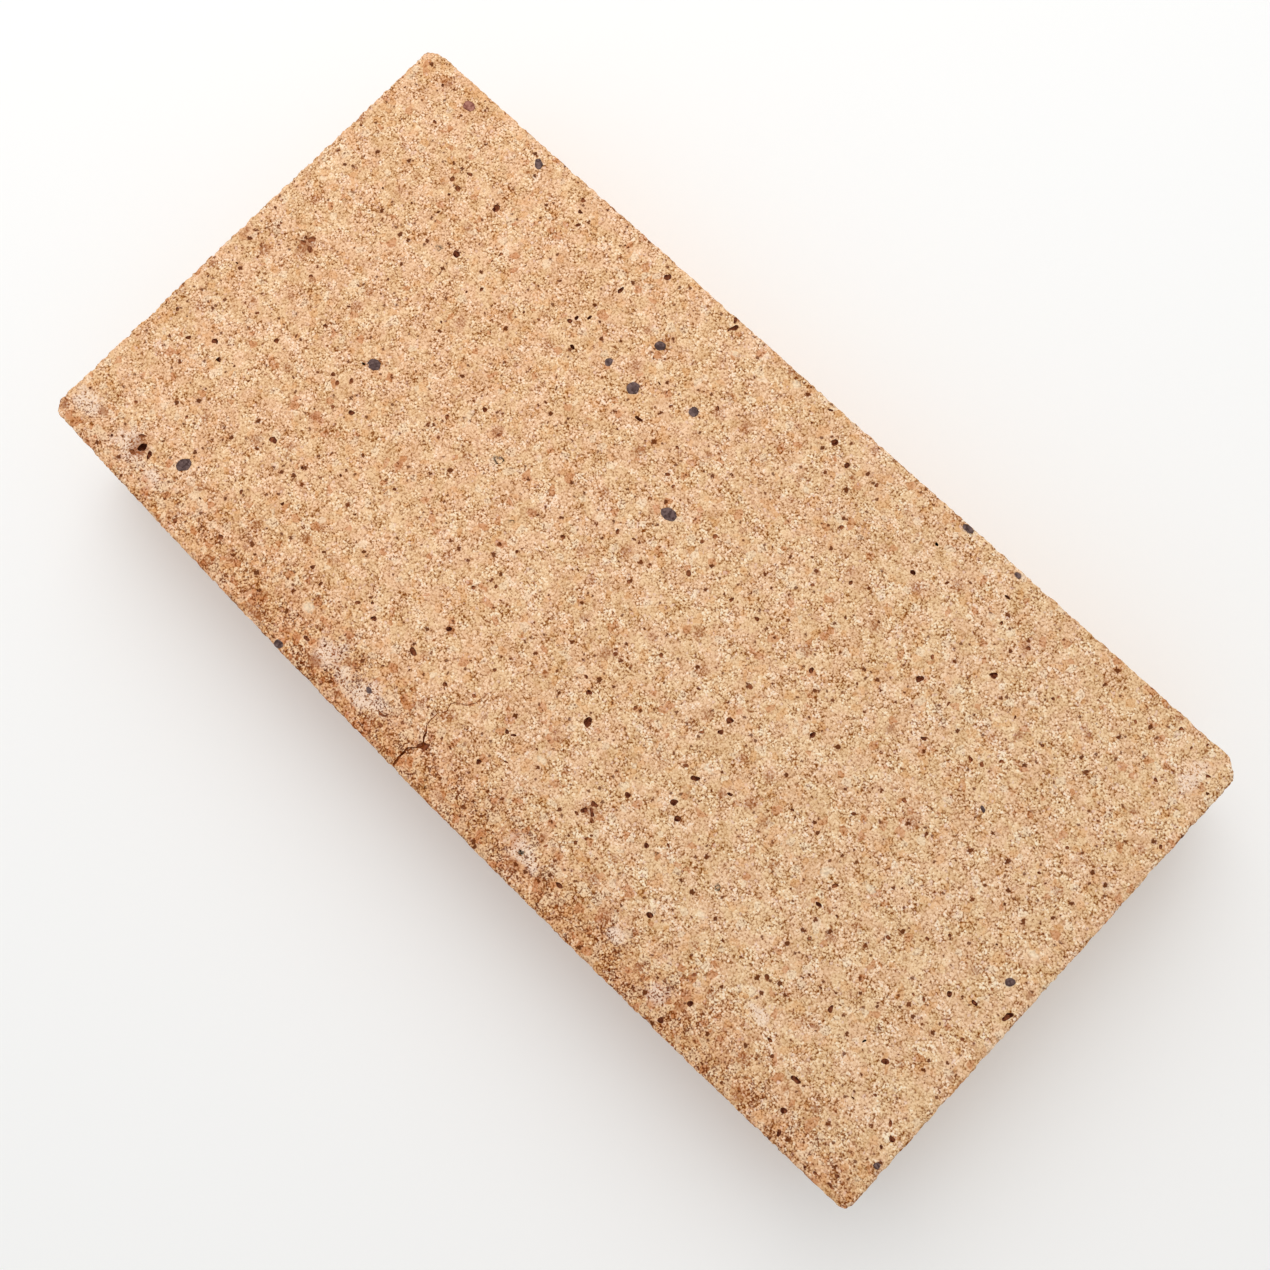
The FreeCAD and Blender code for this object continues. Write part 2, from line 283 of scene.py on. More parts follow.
def deselect_all() -> None:
    """Leaves no object selected, so that an operator acts only on what is chosen next."""
    if bpy.context.object and bpy.context.object.mode != "OBJECT":
        bpy.ops.object.mode_set(mode="OBJECT")
    bpy.ops.object.select_all(action="DESELECT")


def take(piece: bpy.types.Object) -> None:
    """Makes a piece the only selected object and the active one.

    Args:
        piece: The object that the next operators act on.
    """
    deselect_all()
    piece.select_set(True)
    bpy.context.view_layer.objects.active = piece


@contextmanager
def editing(piece: bpy.types.Object, kind: str = "VERT") -> Iterator[None]:
    """Holds a piece in edit mode, with all of it selected at first.

    Args:
        piece: The object to edit.
        kind: "VERT", "EDGE" or "FACE", what is selected in it.
    """
    take(piece)
    bpy.ops.object.mode_set(mode="EDIT")
    bpy.ops.mesh.select_mode(type=kind)
    bpy.ops.mesh.select_all(action="SELECT")
    yield
    bpy.ops.object.mode_set(mode="OBJECT")


def apply_transform() -> None:
    """Bakes the selected objects' place, turn and scale into their meshes."""
    bpy.ops.object.transform_apply(location=True, rotation=True, scale=True)


def choose(piece: bpy.types.Object, part: str, test: Callable[[Any], bool]) -> None:
    """Selects the vertices, edges or faces of a piece in edit mode that pass a test.

    Args:
        piece: The object in edit mode.
        part: "verts", "edges" or "faces".
        test: Called with each one, true where it is to be selected.
    """
    mesh = bmesh.from_edit_mesh(piece.data)
    bpy.ops.mesh.select_all(action="DESELECT")
    for item in [item for item in getattr(mesh, part) if test(item)]:
        item.select_set(True)
    mesh.select_flush_mode()
    bmesh.update_edit_mesh(piece.data)


def apply_modifier(piece: bpy.types.Object, kind: str, **settings: Any) -> None:
    """Adds one modifier to a piece and applies it.

    Args:
        piece: The object to change.
        kind: The modifier's type.
        **settings: The modifier's properties.
    """
    take(piece)
    bpy.ops.object.modifier_add(type=kind)
    modifier = piece.modifiers[-1]
    for name, value in settings.items():
        setattr(modifier, name, value)
    bpy.ops.object.modifier_apply(modifier=modifier.name)


def lumps(name: str, kind: str, size: float, **settings: Any) -> bpy.types.Texture:
    """Makes a noise for displacing a surface.

    Args:
        name: The texture's name.
        kind: "CLOUDS" or "VORONOI".
        size: The size of its lumps in millimetres.
        **settings: Its other properties.

    Returns:
        The new texture.
    """
    texture = bpy.data.textures.new(name, type=kind)
    texture.noise_scale = size * MM
    for key, value in settings.items():
        setattr(texture, key, value)
    return texture


class Wiring:
    """A node tree, with the short words that the finishes are written in."""

    def __init__(self, tree: bpy.types.NodeTree) -> None:
        """Starts on a node tree."""
        self.tree = tree

    def feed(self, socket: bpy.types.NodeSocket, value: Feed) -> None:
        """Links a socket to another one, or sets its value.

        Args:
            socket: The input to feed.
            value: An output socket, or a number, vector or colour.
        """
        if isinstance(value, bpy.types.NodeSocket):
            self.tree.links.new(value, socket)
        else:
            socket.default_value = value

    def add(self, kind: str, *feeds: Feed, **settings: Any) -> bpy.types.Node:
        """Adds a node.

        Args:
            kind: The node's type, without "ShaderNode".
            *feeds: What goes into its inputs in order, None to leave one alone.
            **settings: The node's properties.

        Returns:
            The new node.
        """
        node = self.tree.nodes.new(f"ShaderNode{kind}")
        for name, value in settings.items():
            setattr(node, name, value)
        for socket, value in zip(node.inputs, feeds):
            if value is not None:
                self.feed(socket, value)
        return node

    def maths(self, operation: str, *values: Feed) -> bpy.types.NodeSocket:
        """Does a sum on numbers and gives its result."""
        return self.add("Math", *values, operation=operation).outputs[0]

    def vector(self, operation: str, *values: Feed) -> bpy.types.NodeSocket:
        """Does a sum on vectors and gives the resulting vector."""
        return self.add("VectorMath", *values, operation=operation).outputs[0]

    def product(self, first: Feed, *others: Feed) -> bpy.types.NodeSocket:
        """Multiplies numbers or sockets.

        Args:
            first: The first of them.
            *others: The rest.

        Returns:
            Their product.
        """
        result = first
        for other in others:
            result = self.maths("MULTIPLY", result, other)
        return result

    def total(self, start: Feed, *terms: tuple[Feed, Feed]) -> bpy.types.NodeSocket:
        """Adds weighted terms to a number.

        Args:
            start: The number.
            *terms: Each term's value and its weight.

        Returns:
            The sum.
        """
        result = start
        for value, weight in terms:
            result = self.maths("MULTIPLY_ADD", value, weight, result)
        return result

    def step(self, value: Feed, start: Feed, end: Feed) -> bpy.types.NodeSocket:
        """Eases from 0 at one value to 1 at another.

        Args:
            value: The number to ease.
            start: Where the result is 0.
            end: Where the result is 1.

        Returns:
            The eased number.
        """
        node = self.add("MapRange", value, start, end, interpolation_type="SMOOTHSTEP")
        return node.outputs[0]

    def noise(self, place: Feed, size: float, detail: float = 2.0) -> bpy.types.Node:
        """Adds a cloudy noise.

        Args:
            place: The place in millimetres.
            size: The size of its clouds in millimetres.
            detail: How many finer layers it has.

        Returns:
            The noise node.
        """
        node = self.add("TexNoise")
        self.feed(node.inputs["Vector"], place)
        self.feed(node.inputs["Scale"], 1 / size)
        self.feed(node.inputs["Detail"], detail)
        return node

    def cells(self, place: Feed, size: Feed, feature: str = "F1") -> bpy.types.Node:
        """Adds a pattern of cells that fill space.

        Args:
            place: The place in millimetres.
            size: The size of a cell in millimetres.
            feature: "F1" or "DISTANCE_TO_EDGE".

        Returns:
            The cell node.
        """
        node = self.add("TexVoronoi", feature=feature)
        self.feed(node.inputs["Vector"], place)
        self.feed(node.inputs["Scale"], self.maths("DIVIDE", 1.0, size))
        return node

    def mix(
        self, share: Feed, first: Feed, second: Feed, mode: str = "MIX"
    ) -> bpy.types.NodeSocket:
        """Mixes two colours.

        Args:
            share: How much of the second colour shows.
            first: The colour underneath.
            second: The colour laid over it.
            mode: How it is laid over.

        Returns:
            The mixed colour.
        """
        node = self.tree.nodes.new("ShaderNodeMix")
        node.data_type = "RGBA"
        node.blend_type = mode
        self.feed(node.inputs[0], share)
        self.feed(node.inputs[6], first)
        self.feed(node.inputs[7], second)
        return node.outputs[2]

    def ramp(
        self, share: Feed, stops: Sequence[tuple[float, Colour]]
    ) -> bpy.types.NodeSocket:
        """Turns a number into a colour along a row of stops.

        Args:
            share: The number, from 0 to 1.
            stops: Each stop's place and colour, in order.

        Returns:
            The colour.
        """
        node = self.add("ValToRGB", share)
        band = node.color_ramp
        while len(band.elements) < len(stops):
            band.elements.new(0.5)
        for element, (place, colour) in zip(band.elements, stops):
            element.position = place
            element.color = colour
        return node.outputs[0]


class Effect(Enum):
    """The effects that several finishes share, by the names of their node groups."""

    GRAINS = "crushed_grains"
    PORES = "round_pores"
    PATCH = "placed_patch"
    WEAR = "arris_wear"


class EffectShelf:
    """Builds each shared effect once and places it in the finishes that ask for it."""

    def __init__(self, size: Vector, side_bow: float) -> None:
        """Takes the brick's size and its side's bow, in millimetres."""
        self.half = tuple(size / 2)
        self.side_bow = side_bow
        self.groups: dict[Effect, bpy.types.NodeTree] = {}
        self.builders = {
            Effect.GRAINS: self.build_grains,
            Effect.PORES: self.build_pores,
            Effect.PATCH: self.build_patch,
            Effect.WEAR: self.build_wear,
        }

    def on_bed(self, left: float, front: float) -> tuple[float, float, float]:
        """Turns a place measured from the left end and the front side's ends."""
        half_length, half_width, half_height = self.half
        left, front = square_up(left, front)
        return (left - half_length, front - half_width + self.side_bow, 2 * half_height)

    def place(self, wiring: Wiring, effect: Effect, **inputs: Feed) -> bpy.types.Node:
        """Places an effect in a finish.

        Args:
            wiring: The finish's node tree.
            effect: Which effect.
            **inputs: What goes into its named inputs.

        Returns:
            The group node.
        """
        if effect not in self.groups:
            self.groups[effect] = self.builders[effect]()
        node = wiring.add("Group")
        node.node_tree = self.groups[effect]
        for name, value in inputs.items():
            wiring.feed(node.inputs[name.replace("_", " ").title()], value)
        return node

    def start(
        self, effect: Effect, inputs: dict[str, str], outputs: Sequence[str]
    ) -> tuple[Wiring, dict[str, bpy.types.NodeSocket], bpy.types.Node]:
        """Starts a group with its named sockets.

        Args:
            effect: Which effect.
            inputs: Each input's name and whether it is a "Vector" or a "Float".
            outputs: The outputs' names, all numbers.

        Returns:
            The group's wiring, its inputs by name, and its output node.
        """
        tree = bpy.data.node_groups.new(effect.value, "ShaderNodeTree")
        ends = [(name, "INPUT", kind) for name, kind in inputs.items()]
        ends += [(name, "OUTPUT", "Float") for name in outputs]
        for name, way, kind in ends:
            tree.interface.new_socket(name, in_out=way, socket_type=f"NodeSocket{kind}")
        source = tree.nodes.new("NodeGroupInput")
        sink = tree.nodes.new("NodeGroupOutput")
        named = {socket.name: socket for socket in source.outputs if socket.name}
        return Wiring(tree), named, sink

    def build_grains(self) -> bpy.types.NodeTree:
        """Makes grains crushed to one size, pressed together.

        Returns:
            The group. Shade and Tint are random for each grain, and Rim rises from 0 in
            its middle to about 1 where it meets its neighbours.
        """
        wiring, given, sink = self.start(
            Effect.GRAINS,
            {"Place": "Vector", "Size": "Float"},
            ("Shade", "Tint", "Rim"),
        )
        grain = wiring.cells(given["Place"], given["Size"])
        draws = wiring.add("SeparateColor", grain.outputs["Color"])
        wiring.feed(sink.inputs["Shade"], draws.outputs[0])
        wiring.feed(sink.inputs["Tint"], draws.outputs[1])
        wiring.feed(sink.inputs["Rim"], grain.outputs["Distance"])
        return wiring.tree

    def build_pores(self) -> bpy.types.NodeTree:
        """Makes round pores and round specks, scattered through the clay.

        Returns:
            The group. Mask is 1 inside a pore, Halo is 1 there and fades out round it,
            and Tint is random for each pore.
        """
        wiring, given, sink = self.start(
            Effect.PORES,
            {"Place": "Vector"}
            | dict.fromkeys(("Spacing", "Radius", "Share", "Ragged"), "Float"),
            ("Mask", "Halo", "Tint"),
        )
        cell = wiring.cells(given["Place"], given["Spacing"])
        distance = wiring.product(cell.outputs["Distance"], given["Spacing"])
        draws = wiring.add("SeparateColor", cell.outputs["Color"])
        kept = wiring.maths("LESS_THAN", draws.outputs[0], given["Share"])
        spread = wiring.total(0.65, (draws.outputs[1], 0.7))
        radius = wiring.product(given["Radius"], spread)
        share = wiring.maths("DIVIDE", distance, radius)
        share = wiring.maths("ADD", share, given["Ragged"])
        for name, start, end in (("Mask", 1.05, 0.75), ("Halo", 1.9, 0.9)):
            inside = wiring.product(kept, wiring.step(share, start, end))
            wiring.feed(sink.inputs[name], inside)
        wiring.feed(sink.inputs["Tint"], draws.outputs[2])
        return wiring.tree

    def build_patch(self) -> bpy.types.NodeTree:
        """Makes a ragged patch at one place, such as a deposit or a stain.

        Returns:
            The group. Mask is 1 in the patch's middle and fades out at its edge.
        """
        wiring, given, sink = self.start(
            Effect.PATCH,
            {"Place": "Vector", "Centre": "Vector", "Reach": "Vector", "Ragged": "Float"},
            ("Mask",),
        )
        away = wiring.vector("SUBTRACT", given["Place"], given["Centre"])
        share = wiring.vector("DIVIDE", away, given["Reach"])
        length = wiring.add("VectorMath", share, operation="LENGTH").outputs["Value"]
        edge = wiring.maths("ADD", length, given["Ragged"])
        wiring.feed(sink.inputs["Mask"], wiring.step(edge, 1.2, 0.4))
        return wiring.tree

    def build_wear(self) -> bpy.types.NodeTree:
        """Makes the mask of the brick's arrises and upright corners.

        Returns:
            The group. Mask is 1 on an arris and 0 beyond its reach.
        """
        wiring, given, sink = self.start(
            Effect.WEAR,
            {"Place": "Vector", "Reach": "Float", "Ragged": "Float"},
            ("Mask",),
        )
        centred = wiring.vector("SUBTRACT", given["Place"], (0.0, 0.0, self.half[2]))
        sides = wiring.add("SeparateXYZ", wiring.vector("ABSOLUTE", centred)).outputs
        x, y, z = (
            wiring.maths("SUBTRACT", half, side)
            for half, side in zip(self.half, (sides[0], sides[1], sides[2]))
        )
        middle = wiring.maths(
            "MAXIMUM",
            wiring.maths("MINIMUM", x, y),
            wiring.maths("MINIMUM", wiring.maths("MAXIMUM", x, y), z),
        )
        bitten = wiring.maths("ADD", middle, given["Ragged"])
        wiring.feed(sink.inputs["Mask"], wiring.step(bitten, given["Reach"], 0.0))
        return wiring.tree


@dataclass(frozen=True)
class Finish:
    """What every finish has: its name, and a shader reading places in millimetres."""

    name: str

    def start(self) -> tuple[bpy.types.Material, Wiring, bpy.types.NodeSocket]:
        """Starts a material.

        Returns:
            The material, its wiring, and the place on the piece in millimetres.
        """
        material = bpy.data.materials.new(self.name)
        material.use_nodes = True
        wiring = Wiring(material.node_tree)
        where = wiring.add("TexCoord").outputs["Object"]
        scale = 1 / MM
        mapping = wiring.add("Mapping", where, None, None, (scale, scale, scale))
        return material, wiring, mapping.outputs[0]

    def close(
        self, wiring: Wiring, colour: Feed, roughness: Feed, height: Feed
    ) -> None:
        """Feeds the material's shader.

        Args:
            wiring: The material's wiring.
            colour: The colour of the surface.
            roughness: How rough it is.
            height: How high it stands, in millimetres.
        """
        shader = wiring.tree.nodes["Principled BSDF"]
        bump = wiring.add("Bump")
        bump.inputs["Distance"].default_value = MM
        wiring.feed(bump.inputs["Height"], height)
        wiring.feed(shader.inputs["Base Color"], colour)
        wiring.feed(shader.inputs["Roughness"], roughness)
        wiring.feed(shader.inputs["Normal"], bump.outputs[0])
        shader.inputs["Specular IOR Level"].default_value = DULL_GLANCE


@dataclass
class Clay:
    """The noises, grains and masks that the layers of the fired face share.

    Args:
        wiring: The material's wiring.
        shelf: The shared effects.
        place: The place on the brick in millimetres.
        crumbled: The same place, shaken a little so that the grains are uneven.
        along: The place along the length.
        dust: A noise finer than the grains.
        cloud: A noise some millimetres wide.
        fine: The fine grains' outputs.
        large: The coarse grains' outputs.
        dirty: Where the clay is crumbly and rusty.
        cluster: Where the fine gaps gather.
    """

    wiring: Wiring
    shelf: EffectShelf
    place: Feed
    crumbled: Feed
    along: Feed
    dust: Feed
    cloud: Feed
    fine: Any
    large: Any
    dirty: Feed
    cluster: Feed


@dataclass(frozen=True)
class FireclayFinish(Finish):
    """The fired face: tan grains with dark gaps, rust flecks, pores and pale deposits."""

    name: str = "fireclay"
    grain: float = 0.50
    coarse: float = 1.5
    crumb: float = 2.0
    dust_size: float = 0.36
    wobble_size: float = 0.8
    cloud_size: float = 4.2
    slow_size: float = 34.0
    patch_depth: float = 4.0
    grain_shades: tuple[tuple[float, Colour], ...] = (
        (0.00, paint(132, 72, 22)),
        (0.12, paint(177, 125, 70)),
        (0.28, paint(210, 164, 116)),
        (0.50, paint(229, 188, 146)),
        (0.74, paint(244, 207, 167)),
        (0.92, paint(254, 221, 186)),
        (1.00, paint(255, 236, 210)),
    )
    gap: Colour = paint(124, 60, 8)
    crevice: Colour = paint(104, 42, 2)
    # Dark brown of the small pores: partly their own colour, partly painted shade for their
    # hollows, which have no relief.
    pore_brown_and_shade: Colour = paint(98, 46, 12)
    rust: Colour = paint(160, 84, 42)
    red_grog: Colour = paint(178, 86, 46)
    blotch: Colour = paint(150, 84, 42)
    ochre: Colour = paint(226, 158, 88)
    cream: Colour = paint(255, 238, 208)
    blush: Colour = paint(240, 206, 190)
    deposit: Colour = paint(248, 224, 204)
    rosy: Colour = (1.0, 0.968, 0.965, 1.0)
    olive: Colour = (0.99, 0.997, 0.940, 1.0)
    warm: Colour = (1.0, 0.955, 0.94, 1.0)
    cool: Colour = (0.965, 0.965, 0.975, 1.0)
    brown: Colour = (0.88, 0.66, 0.48, 1.0)
    # Each patch's centre from the left end and from the ends of the front side, and
    # its size along and across: pale deposits, rust stains and cream lumps of grog.
    deposits: tuple[Patch, ...] = (
        (5.0, 8.0, 7.2, 6.0), (19.5, 6.5, 10.0, 6.4), (25.0, 6.0, 11.0, 5.2),
        (81.5, 6.5, 7.0, 7.0), (92.5, 5.2, 13.0, 5.6), (139.3, 5.7, 8.0, 5.2),
        (162.7, 7.1, 5.0, 3.0), (175.6, 4.0, 5.0, 6.0), (192.7, 15.0, 6.0, 3.0),
        (222.5, 105.5, 4.0, 8.0),
    )
    stains: tuple[Patch, ...] = (
        (45.0, 28.2, 1.6, 1.6), (53.0, 8.9, 1.6, 1.6), (9.0, 8.0, 2.6, 2.4),
        (114.2, 18.7, 1.4, 1.4), (115.1, 12.3, 1.3, 1.3), (119.5, 1.2, 3.6, 2.2),
        (82.3, 10.7, 2.5, 2.0), (85.9, 7.2, 1.8, 2.2), (89.0, 1.2, 2.6, 1.8),
        (80.6, 2.7, 3.6, 2.6), (64.8, 0.8, 4.2, 1.8), (126.3, 97.7, 2.0, 3.5),
        (174.2, 72.5, 1.5, 2.5), (203.1, 98.1, 2.0, 2.0), (227.4, 53.5, 1.6, 2.2),
        (226.6, 31.7, 2.6, 1.3), (212.4, 10.2, 2.6, 1.6), (139.3, 9.8, 2.0, 3.0),
        (108.2, 16.9, 1.0, 0.8), (109.3, 17.5, 1.0, 0.8), (110.3, 18.6, 0.8, 1.2),
        (110.9, 20.2, 0.7, 1.8), (111.1, 22.0, 0.7, 1.8), (2.0, 3.2, 2.4, 3.0),
        (14.0, 63.5, 4.8, 4.4), (20.8, 8.0, 5.6, 5.0), (42.2, 53.1, 2.4, 1.8),
        (142.5, 20.2, 5.0, 4.2), (96.2, 26.1, 2.2, 2.2),
    )
    lumps: tuple[Patch, ...] = (
        (71.8, 9.5, 2.2, 2.0), (183.8, 43.3, 1.8, 2.2), (153.8, 42.0, 2.8, 1.4),
        (192.4, 47.1, 2.8, 1.2), (222.7, 59.6, 3.0, 1.5), (128.8, 96.6, 2.0, 1.2),
        (98.1, 107.7, 2.4, 1.6), (111.9, 111.6, 2.0, 1.8), (171.8, 20.9, 2.2, 1.5),
        (128.6, 20.5, 2.4, 1.4),
    )

    def build(self, shelf: EffectShelf) -> bpy.types.Material:
        """Makes the material.

        Args:
            shelf: The shared effects.

        Returns:
            The material.
        """
        material, wiring, place = self.start()
        parts = wiring.add("SeparateXYZ", place).outputs
        wobble = wiring.noise(place, self.wobble_size, 1.0).outputs[1]
        shift = wiring.vector("MULTIPLY_ADD", wobble, (0.5,) * 3, (-0.25,) * 3)
        crumbled = wiring.vector("ADD", place, shift)
        dust = wiring.noise(place, self.dust_size).outputs[0]
        clouds = wiring.noise(place, self.cloud_size, 3.0).outputs
        cloud = clouds[0]
        hues = wiring.add("SeparateColor", clouds[1]).outputs
        cluster = wiring.step(hues[1], 0.38, 0.62)
        fine, large = (
            shelf.place(wiring, Effect.GRAINS, place=crumbled, size=size).outputs
            for size in (self.grain, self.coarse)
        )

        front = wiring.step(parts[1], -38.0, -57.0)
        off_middle = wiring.maths("ABSOLUTE", wiring.maths("SUBTRACT", parts[0], 16.0))
        middle = wiring.step(off_middle, 120.0, 45.0)
        zone = wiring.product(front, wiring.total(0.4, (middle, 0.6)))
        torn = wiring.total(-1.5, (cloud, 3.0))
        worn = shelf.place(
            wiring, Effect.WEAR, place=place, reach=2.2, ragged=torn
        ).outputs["Mask"]
        dirty = wiring.maths("MAXIMUM", zone, wiring.product(worn, 0.22))

        swing = wiring.total(0.68, (cluster, 0.75), (dirty, 0.40))
        grit = wiring.total(-0.39, (fine["Shade"], 0.40), (fine["Rim"], -0.55), (dust, 0.88))
        shade = wiring.total(
            0.25, (large["Shade"], 0.26), (cloud, 0.50), (dirty, -0.03), (grit, swing)
        )
        colour = wiring.ramp(shade, self.grain_shades)
        hue = wiring.mix(wiring.step(hues[2], 0.42, 0.58), self.rosy, self.olive)
        colour = wiring.mix(1.0, colour, hue, "MULTIPLY")
        clay = Clay(
            wiring, shelf, place, crumbled, parts[0], dust, cloud, fine, large, dirty, cluster
        )
        for layer in (self.tint, self.scorch, self.part_grains, self.patch_up, self.pierce):
            colour = layer(clay, colour)

        rounded = wiring.product(wiring.step(fine["Rim"], 0.8, 0.3), 0.05)
        height = wiring.total(rounded, (dust, 0.08))
        roughness = wiring.total(0.84, (fine["Tint"], 0.12))
        self.close(wiring, colour, roughness, height)
        return material

    def tint(self, clay: Clay, colour: Feed) -> bpy.types.NodeSocket:
        """Gives some grains a clay of another colour.

        Args:
            clay: What the face's layers share.
            colour: The colour so far.

        Returns:
            The new colour.
        """
        wiring = clay.wiring
        rusty = wiring.total(1.06, (clay.dirty, -0.16), (clay.cloud, -0.20))
        red = wiring.total(0.975, (clay.dirty, -0.10))
        cream = wiring.total(0.04, (clay.dirty, 0.22))
        for test, draw, limit, strength, laid in (
            ("GREATER_THAN", clay.fine["Tint"], rusty, 0.35, self.rust),
            ("GREATER_THAN", clay.large["Tint"], 0.88, 0.30, self.ochre),
            ("GREATER_THAN", clay.large["Tint"], red, 0.32, self.red_grog),
            ("LESS_THAN", clay.large["Tint"], cream, 0.38, self.cream),
            ("LESS_THAN", clay.fine["Tint"], 0.02, 0.50, self.blush),
        ):
            share = wiring.product(wiring.maths(test, draw, limit), strength)
            colour = wiring.mix(share, colour, laid)
        return colour

    def scorch(self, clay: Clay, colour: Feed) -> bpy.types.NodeSocket:
        """Shades the face slowly from the kiln's fire, and browns the rusty zones.

        Args:
            clay: What the face's layers share.
            colour: The colour so far.

        Returns:
            The new colour.
        """
        wiring = clay.wiring
        slow = wiring.noise(clay.place, self.slow_size).outputs[0]
        grey = wiring.step(wiring.total(clay.along, (slow, 60.0)), -40.0, 110.0)
        fired = wiring.mix(grey, self.warm, self.cool)
        colour = wiring.mix(1.0, colour, fired, "MULTIPLY")
        return wiring.mix(wiring.product(clay.dirty, 0.55), colour, self.brown, "MULTIPLY")

    def part_grains(self, clay: Clay, colour: Feed) -> bpy.types.NodeSocket:
        """Darkens the gaps between grains: fine ones in clusters, crevices where dirty.

        Args:
            clay: What the face's layers share.
            colour: The colour so far.

        Returns:
            The new colour.
        """
        wiring, cluster, dirty = clay.wiring, clay.cluster, clay.dirty
        crumbs = wiring.cells(clay.crumbled, self.crumb, "DISTANCE_TO_EDGE").outputs
        broken = wiring.step(clay.dust, 0.60, 0.42)
        rims = wiring.step(clay.fine["Rim"], 0.50, 0.72)
        lines = wiring.product(rims, broken, wiring.total(0.45, (cluster, 0.5)))
        lower = wiring.total(clay.dust, (dirty, -0.065), (cluster, -0.03))
        gaps = wiring.maths("MAXIMUM", lines, wiring.step(lower, 0.365, 0.295))
        colour = wiring.mix(wiring.product(gaps, 0.85), colour, self.gap)
        seams = wiring.step(crumbs["Distance"], 0.17, 0.04)
        open_zone = wiring.total(0.12, (dirty, 0.90))
        crevice = wiring.product(seams, broken, open_zone, cluster)
        return wiring.mix(crevice, colour, self.crevice)

    def patch_up(self, clay: Clay, colour: Feed) -> bpy.types.NodeSocket:
        """Lays the pale deposits, the rust stains and the cream lumps over the face.

        Args:
            clay: What the face's layers share.
            colour: The colour so far.

        Returns:
            The new colour.
        """
        wiring, shelf, dust = clay.wiring, clay.shelf, clay.dust
        ragged = wiring.total(-2.4, (clay.cloud, 3.2), (dust, 1.6))
        frayed = wiring.total(-1.6, (clay.cloud, 1.4), (dust, 1.8))
        thin = wiring.product(wiring.step(dust, 0.36, 0.56), 0.72)
        for patches, edge, strength, laid in (
            (self.deposits, ragged, thin, self.deposit),
            (self.stains, frayed, 0.6, self.blotch),
            (self.lumps, frayed, 0.5, self.cream),
        ):
            cover: Feed = 0.0
            for left, front, length, width in patches:
                patch = shelf.place(
                    wiring,
                    Effect.PATCH,
                    place=clay.place,
                    centre=shelf.on_bed(left, front),
                    reach=(length / 2, width / 2, self.patch_depth),
                    ragged=edge,
                )
                cover = wiring.maths("MAXIMUM", cover, patch.outputs["Mask"])
            colour = wiring.mix(wiring.product(cover, strength), colour, laid)
        return colour

    def pierce(self, clay: Clay, colour: Feed) -> bpy.types.NodeSocket:
        """Scatters rusty blotches and pores of two sizes over the face. The pores' dark brown
        is partly their own colour and partly painted shade for hollows that have no relief.

        Args:
            clay: What the face's layers share.
            colour: The colour so far.

        Returns:
            The new colour.
        """
        wiring = clay.wiring
        broken = wiring.product(wiring.step(clay.dust, 0.62, 0.46), 0.55)
        ragged = wiring.total(-0.8, (clay.dust, 1.6))
        for spacing, radius, share, more, strength, deep in (
            (6.0, 0.90, 0.50, 0.4, broken, self.blotch),
            # These two rows paint the pores dark brown: partly their own colour, partly
            # painted shade for hollows that have no relief.
            (1.75, 0.29, 0.42, 0.3, 0.8, self.pore_brown_and_shade),
            (3.3, 0.46, 0.60, 0.3, 0.95, self.pore_brown_and_shade),
        ):
            pores = clay.shelf.place(
                wiring,
                Effect.PORES,
                place=clay.crumbled,
                spacing=spacing,
                radius=radius,
                share=wiring.total(share, (clay.dirty, more)),
                ragged=ragged,
            ).outputs
            colour = wiring.mix(wiring.product(pores["Halo"], 0.25), colour, self.rust)
            stain = wiring.mix(wiring.step(pores["Tint"], 0.6, 1.1), deep, self.rust)
            colour = wiring.mix(wiring.product(pores["Mask"], strength), colour, stain)
        return colour


@dataclass(frozen=True)
class StoneFinish(Finish):
    """A dense finish with one kind of grain, for ironstone, grog and hollows.

    Args:
        dark: The colour of its darkest grains.
        pale: The colour of its palest grains.
        grain: The size of a grain in millimetres.
        rough: How rough it is.
        relief: How far its grains stand up, in millimetres.
        cloud_size: How wide its darker and paler clouds are, in millimetres.
    """

    dark: Colour
    pale: Colour
    grain: float
    rough: float
    relief: float
    cloud_size: float = 0.9

    def build(self, shelf: EffectShelf) -> bpy.types.Material:
        """Makes the material.

        Args:
            shelf: The shared effects.

        Returns:
            The material.
        """
        material, wiring, place = self.start()
        grains = shelf.place(
            wiring, Effect.GRAINS, place=place, size=self.grain
        ).outputs
        cloud = wiring.noise(place, self.cloud_size).outputs[0]
        share = wiring.maths("ADD", wiring.total(-0.25, (grains["Shade"], 0.5)), cloud)
        colour = wiring.ramp(share, ((0.25, self.dark), (0.75, self.pale)))
        height = wiring.product(grains["Shade"], self.relief)
        roughness = wiring.total(self.rough - 0.1, (cloud, 0.2))
        self.close(wiring, colour, roughness, height)
        return material


